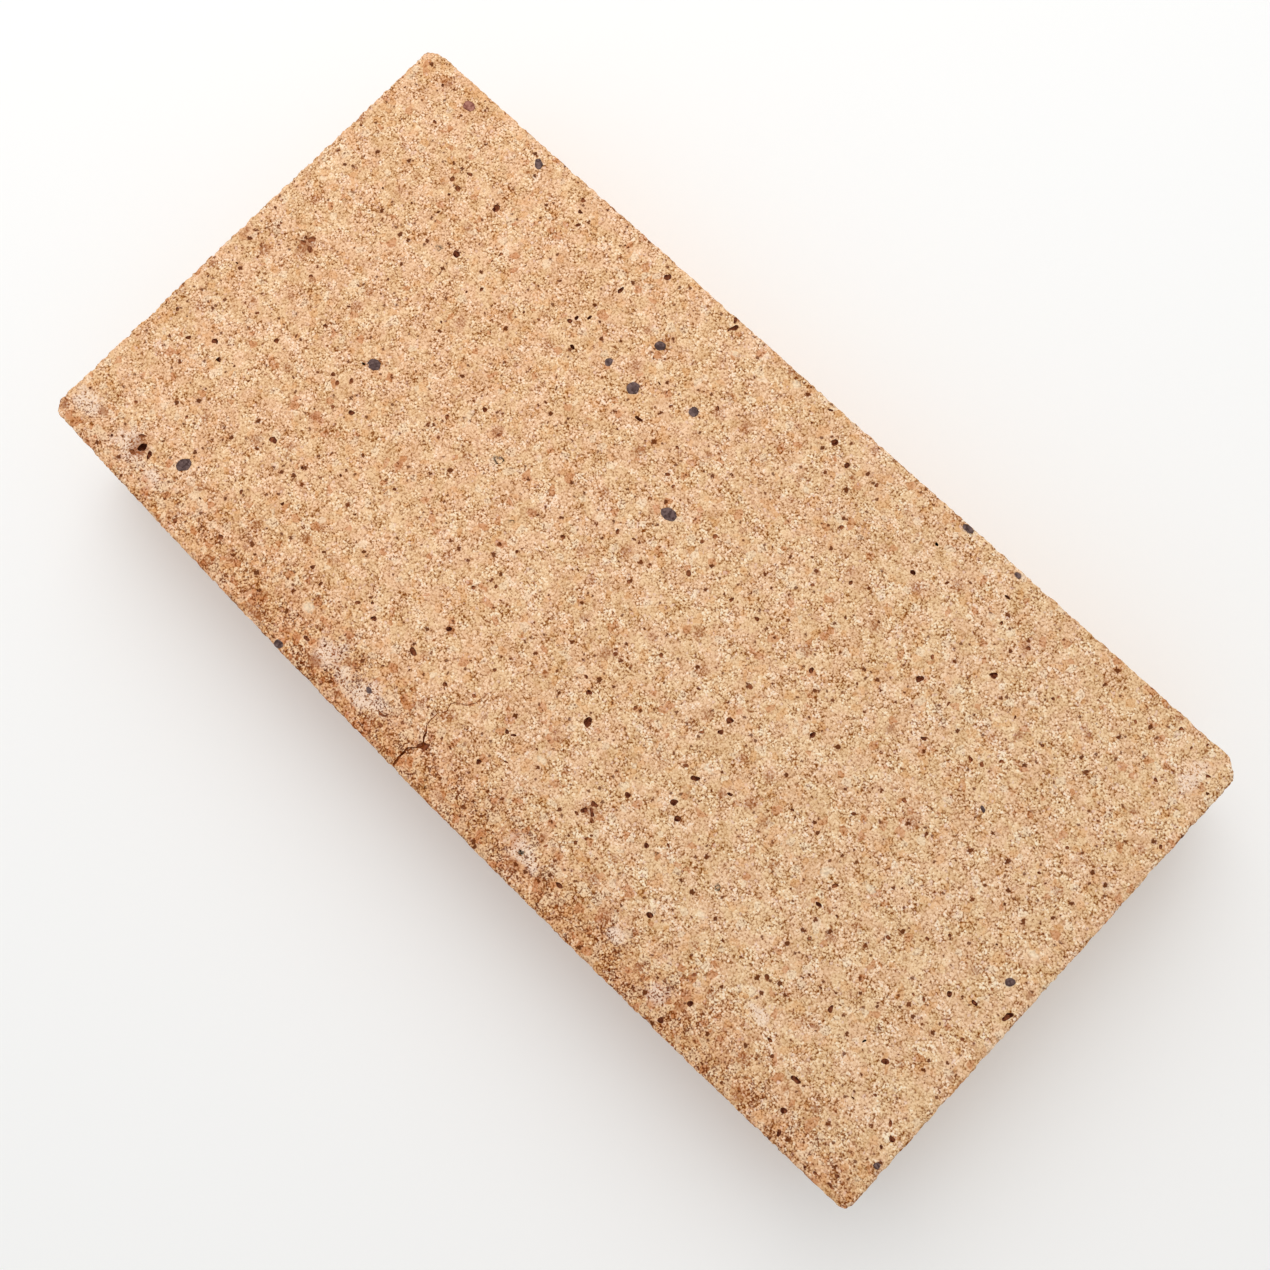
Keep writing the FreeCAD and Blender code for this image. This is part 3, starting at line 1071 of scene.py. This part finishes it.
@dataclass
class Firebrick:
    """The brick itself: one pressed and fired slab with its damage.

    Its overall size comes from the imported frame. The other fields are its own: sizes
    in millimetres, the angle in degrees and counts.
    """

    low: Vector
    high: Vector
    side_bow: float = 2.0
    bow_stations: int = 31
    corner_radius: float = 2.2
    arris_radius: float = 0.55
    skin: float = 0.05
    grit: float = 0.5
    most_triangles: int = 160_000
    breaks: tuple[Break, ...] = (
        Break(end=-1, side=1, along=2.8, across=2.4, drop=8.0),
        Break(end=1, side=1, along=4.2, across=3.2, drop=9.0),
        Break(end=-1, side=-1, along=2.2, across=3.0, drop=7.0),
    )
    # Each stone's name, dark and pale colours, grain, roughness and relief.
    stones: tuple[tuple[str, Colour, Colour, float, float, float], ...] = (
        ("ironstone", paint(72, 53, 50), paint(118, 96, 92), 0.5, 0.6, 0.03),
        ("red_grog", paint(128, 74, 62), paint(176, 122, 106), 0.5, 0.6, 0.03),
        ("hollow", paint(70, 24, 10), paint(142, 80, 50), 0.45, 0.9, 0.08),
        ("pock", paint(102, 46, 18), paint(168, 104, 66), 0.45, 0.9, 0.06),
        ("cracked", paint(128, 54, 8), paint(190, 112, 56), 0.5, 0.9, 0.08),
    )
    # The crack's middle line: each point's place from the left end and from the ends
    # of the front side, and how wide the crack gapes there.
    crack: tuple[tuple[float, float, float], ...] = (
        (107.9, -3.4, 0.58), (107.6, -0.8, 0.55), (107.4, 0.5, 0.50), (107.2, 3.7, 0.46),
        (108.4, 4.8, 0.34), (109.2, 5.9, 0.50), (108.2, 7.2, 0.46), (107.6, 8.6, 0.34),
        (106.6, 9.7, 0.20), (106.6, 12.6, 0.15), (107.7, 14.1, 0.20), (107.2, 15.8, 0.16),
        (107.8, 16.7, 0.15), (109.6, 17.6, 0.20), (110.7, 19.3, 0.14), (110.9, 20.8, 0.12),
        (111.2, 23.0, 0.10),
    )
    crack_depth: float = 1.1
    crack_wobble: float = 0.5
    marks: tuple[Mark, ...] = MARKS
    dots: tuple[tuple[float, float, float], ...] = DOTS
    nodule_top: float = 0.12
    nodule_sink: float = 0.45
    nodule_swell: float = 1.12
    nodule_warp: float = 0.3
    pit_sink: float = 0.12
    pit_warp: float = 0.6
    proud_margin: float = 0.02
    smooth_angle: float = 38.0
    pock_depth: float = 0.35
    loose_pores: int = 90
    seed: int = 7

    def __post_init__(self) -> None:
        """Notes where the faces lie, in millimetres, and the ends of the front side."""
        self.height: float = (self.high.z - self.low.z) / MM
        self.left_end: float = self.low.x / MM
        self.right_end: float = self.high.x / MM
        self.back_side: float = self.high.y / MM
        self.front_ends: float = self.low.y / MM + self.side_bow

    def swell(self, along: Any) -> Any:
        """Gives how far the front side stands proud of its ends.

        Args:
            along: One place along the length or many, in millimetres from the middle.

        Returns:
            The swell in millimetres, on the arc through the two ends and the crown.
        """
        half = (self.right_end - self.left_end) / 2
        radius = (half**2 + self.side_bow**2) / (2 * self.side_bow)
        rise = np.sqrt(radius**2 - np.minimum(np.abs(along), half) ** 2)
        return rise - (radius - self.side_bow)

    def build(self) -> bpy.types.Object:
        """Models the brick from its pressed blank to its weathered skin.

        Returns:
            The brick, still without its finishes, nodules, pits and crack.
        """
        brick = self.press_blank()
        self.swell_front(brick)
        self.round_uprights(brick)
        for broken in self.breaks:
            self.break_corner(brick, broken)
        self.soften_arrises(brick)
        self.pack_grain(brick)
        self.weather(brick)
        self.thin_out(brick)
        return brick

    def dress(self, brick: bpy.types.Object) -> None:
        """Gives the brick its finishes, then its nodules, its pits and its crack.

        Args:
            brick: The weathered brick.
        """
        shelf = EffectShelf((self.high - self.low) / MM, self.side_bow)
        brick.data.materials.clear()
        brick.data.materials.append(FireclayFinish().build(shelf))
        ironstone, red_grog, hollow, pock, cracked = (
            StoneFinish(*look).build(shelf) for look in self.stones
        )
        self.merge(brick, self.make_nodules(MarkKind.NODULE, ironstone), "UNION")
        self.merge(brick, self.make_nodules(MarkKind.GROG, red_grog), "UNION")
        pits = self.scatter_pits()
        level = self.height - self.pit_sink
        for name, finish, chosen in (
            ("pits", hollow, [spot for spot in pits if spot.depth > self.pock_depth]),
            ("pocks", pock, [spot for spot in pits if spot.depth <= self.pock_depth]),
        ):
            for number, marks in enumerate(self.part_company(chosen)):
                title = f"{name}_{number}"
                cutter = self.scatter(title, marks, level, 1.0, self.pit_warp, finish)
                self.merge(brick, cutter, "DIFFERENCE")
        self.merge(brick, self.make_crack(cracked), "DIFFERENCE")
        self.hold_size(brick)
        take(brick)
        bpy.ops.object.shade_smooth_by_angle(angle=math.radians(self.smooth_angle))

    def press_blank(self) -> bpy.types.Object:
        """Adds the plain slab between the box's faces, a skin's depth inside them.

        Returns:
            The new object.
        """
        deselect_all()
        low = Vector((self.left_end, self.front_ends, self.low.z / MM))
        high = Vector((self.right_end, self.back_side, self.high.z / MM))
        inset = Vector((self.skin, self.skin, self.skin))
        size = high - low - 2 * inset
        bpy.ops.mesh.primitive_cube_add(
            size=1, location=(low + high) / 2 * MM, scale=size * MM
        )
        brick = bpy.context.object
        brick.name = brick.data.name = "fired_brick"
        apply_transform()
        return brick

    def swell_front(self, brick: bpy.types.Object) -> None:
        """Divides the slab along its length and pulls the front side out to its arc.

        Args:
            brick: The slab.
        """
        middle = (self.front_ends + self.back_side) / 2 * MM
        half = (self.right_end - self.left_end) * MM / 2
        first = (self.left_end + self.skin) * MM
        pitch = -2 * first / (self.bow_stations + 1)
        with editing(brick, "EDGE"):
            choose(
                brick, "edges", lambda e: abs(e.verts[0].co.x - e.verts[1].co.x) > half
            )
            bpy.ops.mesh.subdivide(number_cuts=self.bow_stations)
            bpy.ops.mesh.select_mode(type="VERT")
            for number in range(self.bow_stations + 2):
                station = first + number * pitch
                choose(
                    brick,
                    "verts",
                    lambda v, x=station: abs(v.co.x - x) < pitch / 4 and v.co.y < middle,
                )
                outward = Vector((0, -self.swell(station / MM) * MM, 0))
                bpy.ops.transform.translate(value=outward)

    def round_uprights(self, brick: bpy.types.Object) -> None:
        """Bevels the four upright corner edges.

        Args:
            brick: The swollen slab.
        """
        ends = (self.left_end + self.skin, self.right_end - self.skin)

        def upright(edge: Any) -> bool:
            first, second = (v.co for v in edge.verts)
            at_end = min(abs(first.x / MM - end) for end in ends) < 0.01
            return at_end and abs(first.z - second.z) > self.height * MM / 2

        with editing(brick, "EDGE"):
            choose(brick, "edges", upright)
            bpy.ops.mesh.bevel(offset=self.corner_radius * MM, segments=4, affect="EDGES")

    def break_corner(self, brick: bpy.types.Object, broken: Break) -> None:
        """Slices one upper corner off along its break and closes the wound.

        Args:
            brick: The slab.
            broken: The break.
        """
        end = self.right_end if broken.end > 0 else self.left_end
        side = self.back_side if broken.side > 0 else self.front_ends
        top = self.height
        along = Vector((end - broken.end * broken.along, side, top))
        across = Vector((end, side - broken.side * broken.across, top))
        foot = Vector((end, side, top - broken.drop))
        normal = (across - along).cross(foot - along).normalized()
        if normal.z < 0:
            normal = -normal
        with editing(brick):
            bpy.ops.mesh.bisect(
                plane_co=along * MM, plane_no=normal, use_fill=True, clear_outer=True
            )

    def soften_arrises(self, brick: bpy.types.Object) -> None:
        """Bevels the edges round both beds.

        Args:
            brick: The slab.
        """
        levels = (self.skin * MM, (self.height - self.skin) * MM)

        def arris(edge: Any) -> bool:
            flat = any(
                all(abs(v.co.z - level) < 1e-6 for v in edge.verts) for level in levels
            )
            sharp = len(edge.link_faces) == 2 and edge.calc_face_angle() > 0.3
            return flat and sharp

        with editing(brick, "EDGE"):
            choose(brick, "edges", arris)
            bpy.ops.mesh.bevel(offset=self.arris_radius * MM, segments=3, affect="EDGES")

    def pack_grain(self, brick: bpy.types.Object) -> None:
        """Turns the slab into one even skin of small faces.

        Args:
            brick: The slab.
        """
        apply_modifier(brick, "REMESH", mode="VOXEL", voxel_size=self.grit * MM)
        LOG.info("the skin has %d faces", len(brick.data.polygons))

    def weather(self, brick: bpy.types.Object) -> None:
        """Roughens the skin inwards: slow waves, grit, and crumbled arrises.

        Args:
            brick: The even skin.
        """
        self.mark_arrises(brick)
        bitten = {"contrast": 3.0, "intensity": 1.45, "use_color_ramp": True}
        crumbled = {"contrast": 2.5, "intensity": 1.35, "use_color_ramp": True}
        for name, kind, size, look, depth, group in (
            ("press_waves", "CLOUDS", 26.0, {"noise_depth": 1}, 0.08, ""),
            ("grog_lumps", "CLOUDS", 3.2, {"noise_depth": 2}, 0.12, ""),
            ("sand", "VORONOI", 1.3, {}, 0.10, ""),
            ("arris_bites", "CLOUDS", 1.7, bitten, 0.48, "arris"),
            ("arris_crumbs", "CLOUDS", 0.75, crumbled, 0.36, "arris"),
        ):
            apply_modifier(
                brick,
                "DISPLACE",
                texture=lumps(name, kind, size, **look),
                texture_coords="LOCAL",
                direction="NORMAL",
                mid_level=1.0,
                strength=depth * MM,
                vertex_group=group,
            )

    def mark_arrises(self, brick: bpy.types.Object) -> None:
        """Weights the skin by how near it is to an arris or an upright corner.

        Args:
            brick: The even skin.
        """
        places = np.empty(len(brick.data.vertices) * 3, dtype=np.float32)
        brick.data.vertices.foreach_get("co", places)
        x, y, z = places.reshape(-1, 3).T / MM
        to_end = np.minimum(x - self.left_end, self.right_end - x)
        to_side = np.minimum(y - self.front_ends + self.swell(x), self.back_side - y)
        to_bed = np.minimum(z, self.height - z)
        nearest = np.sort(np.stack([to_end, to_side, to_bed]), axis=0)[1]
        weight = np.clip(1.0 - (nearest - 0.4) / 1.6, 0.0, 1.0)
        self.weigh(brick, "arris", weight)
        self.weigh(brick, "lower_bed", (z < 0.6).astype(float))

    def weigh(self, brick: bpy.types.Object, name: str, weight: np.ndarray) -> None:
        """Adds a vertex group from an array, in ten steps.

        Args:
            brick: The object to weigh.
            name: The group's name.
            weight: Each vertex's weight, from 0 to 1.
        """
        group = brick.vertex_groups.new(name=name)
        steps = 10
        levels = np.round(weight * steps).astype(int)
        for level in range(1, steps + 1):
            chosen = np.nonzero(levels == level)[0].tolist()
            if chosen:
                group.add(chosen, level / steps, "REPLACE")

    def thin_out(self, brick: bpy.types.Object) -> None:
        """Merges the skin's faces down to what a piece may hold.

        The lower bed, which the ground hides, gives up most of its faces first.

        Args:
            brick: The weathered skin.
        """
        apply_modifier(brick, "DECIMATE", ratio=0.7, vertex_group="lower_bed")
        triangles = sum(len(face.vertices) - 2 for face in brick.data.polygons)
        ratio = min(1.0, self.most_triangles / triangles)
        apply_modifier(brick, "DECIMATE", ratio=ratio)
        brick.vertex_groups.clear()
        LOG.info("the thinned skin has %d faces", len(brick.data.polygons))

    def hold_size(self, brick: bpy.types.Object) -> None:
        """Presses grains that stand proud back into the brick's own box.

        Args:
            brick: The brick with its nodules, pits and crack.
        """
        margin = Vector((1.0, 1.0, 1.0)) * (self.proud_margin * MM)
        places = np.empty(len(brick.data.vertices) * 3, dtype=np.float32)
        brick.data.vertices.foreach_get("co", places)
        held = np.clip(places.reshape(-1, 3), self.low + margin, self.high - margin)
        brick.data.vertices.foreach_set("co", held.ravel().astype(np.float32))
        brick.data.update()

    def merge(
        self, brick: bpy.types.Object, other: bpy.types.Object, operation: str
    ) -> None:
        """Joins another shape to the brick or cuts it out, and deletes that shape.

        Args:
            brick: The brick.
            other: The shape.
            operation: "UNION" or "DIFFERENCE".
        """
        apply_modifier(
            brick,
            "BOOLEAN",
            object=other,
            operation=operation,
            solver="EXACT",
            material_mode="TRANSFER",
        )
        name = other.name
        bpy.data.objects.remove(other, do_unlink=True)
        LOG.info("after %s the brick has %d faces", name, len(brick.data.polygons))

    def make_nodules(
        self, kind: MarkKind, finish: bpy.types.Material
    ) -> bpy.types.Object:
        """Models nodules: lumps whose flat tops lie flush with the bed.

        Args:
            kind: Which of the marks they are.
            finish: Their material.

        Returns:
            One object with them all.
        """
        marks = [mark for mark in self.marks if mark.kind is kind]
        top = self.height - self.nodule_top
        level = top - self.nodule_sink
        lump = self.scatter(
            kind.value, marks, level, self.nodule_swell, self.nodule_warp, finish
        )
        with editing(lump):
            bpy.ops.mesh.bisect(
                plane_co=(0, 0, top * MM), plane_no=(0, 0, 1), use_fill=True, clear_outer=True
            )
        return lump

    def scatter_pits(self) -> list[Mark]:
        """Lists every pit: those that have a place, and loose ones clear of them.

        Returns:
            The marks.
        """
        draw = random.Random(self.seed)
        pits = [mark for mark in self.marks if mark.kind is MarkKind.PIT]
        for left, front, size in self.dots:
            turn = draw.uniform(0.0, 180.0)
            pits.append(pit(left, front, size * 1.1, size * 0.85, turn, DOT_DEPTH))
        taken = list(self.marks) + pits
        wanted = len(pits) + self.loose_pores
        while len(pits) < wanted:
            size = draw.uniform(0.5, 1.1)
            spot = pit(
                draw.uniform(1.5, 227.5),
                draw.uniform(0.0, 113.0),
                size,
                size * draw.uniform(0.6, 1.0),
                draw.uniform(0.0, 180.0),
                draw.uniform(0.25, self.pock_depth),
            )
            if all(self.apart(spot, other) > 1.5 for other in taken):
                pits.append(spot)
                taken.append(spot)
        return pits

    def apart(self, first: Mark, second: Mark) -> float:
        """Gives the clear distance between two marks in millimetres, or less than 0."""
        distance = math.hypot(first.left - second.left, first.front - second.front)
        return distance - (first.length + second.length) / 2

    def part_company(self, marks: Sequence[Mark]) -> list[list[Mark]]:
        """Sorts marks into groups in which none touches another.

        Args:
            marks: The marks.

        Returns:
            The groups.
        """
        groups: list[list[Mark]] = []
        for mark in marks:
            for group in groups:
                if all(self.apart(mark, other) > 0.5 for other in group):
                    group.append(mark)
                    break
            else:
                groups.append([mark])
        return groups

    def scatter(
        self,
        name: str,
        marks: Sequence[Mark],
        level: float,
        swell: float,
        ragged: float,
        finish: bpy.types.Material,
    ) -> bpy.types.Object:
        """Models one lump for each mark, all in one object.

        Args:
            name: The object's name.
            marks: The marks.
            level: How high the lumps' middles lie.
            swell: How much wider a lump is than its mark.
            ragged: How far it is pulled out of shape, in millimetres.
            finish: The material.

        Returns:
            The object, in object mode, selected and active.
        """
        pieces = []
        for number, mark in enumerate(marks):
            deselect_all()
            left, front = square_up(mark.left, mark.front)
            place = Vector((self.left_end + left, self.front_ends + front, level))
            half = Vector((mark.length * swell, mark.width * swell, mark.depth * 2)) / 2
            bpy.ops.mesh.primitive_ico_sphere_add(
                subdivisions=3 if mark.length > 1.6 else 2,
                radius=1.0,
                location=place * MM,
                rotation=(0, 0, math.radians(mark.turn)),
                scale=half * MM,
            )
            piece = bpy.context.object
            apply_transform()
            with editing(piece):
                bpy.ops.transform.vertex_random(
                    offset=mark.width * 0.03 * MM, uniform=0.4, seed=number + self.seed
                )
            pieces.append(piece)
        deselect_all()
        for piece in pieces:
            piece.select_set(True)
        whole = pieces[0]
        bpy.context.view_layer.objects.active = whole
        if len(pieces) > 1:
            bpy.ops.object.join()
        whole.name = whole.data.name = name
        whole.data.materials.append(finish)
        apply_transform()
        apply_modifier(
            whole,
            "DISPLACE",
            texture=lumps(f"{name}_warp", "CLOUDS", 1.1, cloud_type="COLOR", noise_depth=0),
            texture_coords="LOCAL",
            direction="RGB_TO_XYZ",
            mid_level=0.5,
            strength=ragged * MM,
        )
        return whole

    def make_crack(self, finish: bpy.types.Material) -> bpy.types.Object:
        """Models the cutter for the drying crack: a thin wedge drawn along its line.

        Args:
            finish: The material that it leaves on the crack's walls.

        Returns:
            The cutter.
        """
        deselect_all()
        squared = [square_up(left, front) for left, front, _ in self.crack]
        points = [
            Vector((self.left_end + left, self.front_ends + front, self.height))
            for left, front in squared
        ]
        gapes = [gape for _, _, gape in self.crack]
        bpy.ops.mesh.primitive_plane_add(
            size=1.0, location=points[0] * MM, rotation=(math.radians(90), 0, 0)
        )
        cutter = bpy.context.object
        cutter.name = cutter.data.name = "drying_crack"
        cutter.scale = Vector((gapes[0], 2 * self.crack_depth, 1.0)) * MM
        apply_transform()
        with editing(cutter, "FACE"):
            for number in range(1, len(points)):
                step = (points[number] - points[number - 1]) * MM
                bpy.ops.mesh.extrude_region_move(TRANSFORM_OT_translate={"value": step})
                grow = gapes[number] / gapes[number - 1]
                bpy.ops.transform.resize(value=(grow, 1.0, grow))
            bpy.ops.mesh.select_all(action="SELECT")
            bpy.ops.mesh.subdivide(number_cuts=4)
            bpy.ops.mesh.normals_make_consistent(inside=False)
        apply_modifier(
            cutter,
            "DISPLACE",
            texture=lumps("crack_wobble", "CLOUDS", 0.9, noise_depth=1),
            texture_coords="LOCAL",
            direction="X",
            mid_level=0.5,
            strength=self.crack_wobble * MM,
        )
        cutter.data.materials.append(finish)
        return cutter


@dataclass(frozen=True)
class Studio:
    """The floor, the lamps and the camera that looks down on the brick."""

    eye: tuple[float, float, float] = (47.70, -13.49, 257.78)
    aim: tuple[float, float, float] = (17.29, 5.48, 32.0)
    roll: float = 44.03
    lens: float = 32.25
    shift: tuple[float, float] = (-0.0492, -0.0106)
    floor_size: float = 40000.0
    key_place: tuple[float, float, float] = (-420.0, 330.0, 760.0)
    key_size: float = 900.0
    key_power: float = 4.6
    room_light: float = 0.68

    def build(self) -> None:
        """Sets up everything round the brick."""
        self.lay_floor()
        self.hang_key()
        self.light_room()
        self.place_camera()

    def lay_floor(self) -> None:
        """Lays a wide pale floor under the brick."""
        deselect_all()
        bpy.ops.mesh.primitive_plane_add(size=self.floor_size * MM, location=(0, 0, 0))
        floor = bpy.context.object
        floor.name = floor.data.name = "studio_floor"
        material = bpy.data.materials.new("pale_floor")
        material.use_nodes = True
        shader = material.node_tree.nodes["Principled BSDF"]
        shader.inputs["Base Color"].default_value = (0.93, 0.93, 0.92, 1.0)
        shader.inputs["Roughness"].default_value = 0.95
        shader.inputs["Specular IOR Level"].default_value = 0.1
        floor.data.materials.append(material)

    def hang_key(self) -> None:
        """Hangs one broad soft lamp beyond the brick's left end."""
        deselect_all()
        place = Vector(self.key_place) * MM
        bpy.ops.object.light_add(type="AREA", location=place)
        key = bpy.context.object
        key.name = "key_lamp"
        key.data.size = self.key_size * MM
        key.data.energy = self.key_power
        key.rotation_mode = "QUATERNION"
        key.rotation_quaternion = (-place).to_track_quat("-Z", "Y")

    def light_room(self) -> None:
        """Fills the room with an even pale light, white where the camera sees it."""
        world = bpy.data.worlds.new("studio_room")
        world.use_nodes = True
        wiring = Wiring(world.node_tree)
        rays = wiring.add("LightPath").outputs
        seen = wiring.maths("MAXIMUM", rays["Is Camera Ray"], rays["Is Glossy Ray"])
        seen = wiring.maths("MAXIMUM", seen, rays["Is Transmission Ray"])
        strength = wiring.maths(
            "MULTIPLY_ADD", seen, 1.0 - self.room_light, self.room_light
        )
        backdrop = world.node_tree.nodes["Background"]
        backdrop.inputs["Color"].default_value = (1.0, 1.0, 1.0, 1.0)
        wiring.feed(backdrop.inputs["Strength"], strength)
        bpy.context.scene.world = world

    def place_camera(self) -> None:
        """Puts the camera where the photograph was taken from."""
        camera = bpy.data.objects.new("camera", bpy.data.cameras.new("camera"))
        bpy.context.scene.collection.objects.link(camera)
        back = (Vector(self.eye) - Vector(self.aim)).normalized()
        level = Vector((0, 1, 0)).cross(back).normalized()
        lean = back.cross(level)
        turn = math.radians(self.roll)
        right = level * math.cos(turn) + lean * math.sin(turn)
        axes = Matrix((right, back.cross(right), back)).transposed()
        camera.matrix_world = Matrix.Translation(Vector(self.eye) * MM) @ axes.to_4x4()
        camera.data.lens = self.lens
        camera.data.shift_x, camera.data.shift_y = self.shift
        camera.data.clip_start = 0.01
        bpy.context.scene.camera = camera


def main() -> None:
    logging.basicConfig(level=logging.INFO, format="%(relativeCreated)d %(message)s")
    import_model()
    low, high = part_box(NODE)

    maker = Firebrick(low, high)
    brick = maker.build()
    maker.dress(brick)
    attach(brick, "root")
    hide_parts(NODE)
    LOG.info("%s: %d faces", brick.name, len(brick.data.polygons))

    Studio().build()
    bpy.context.scene.view_settings.view_transform = "Standard"


if __name__ == "__main__":
    main()
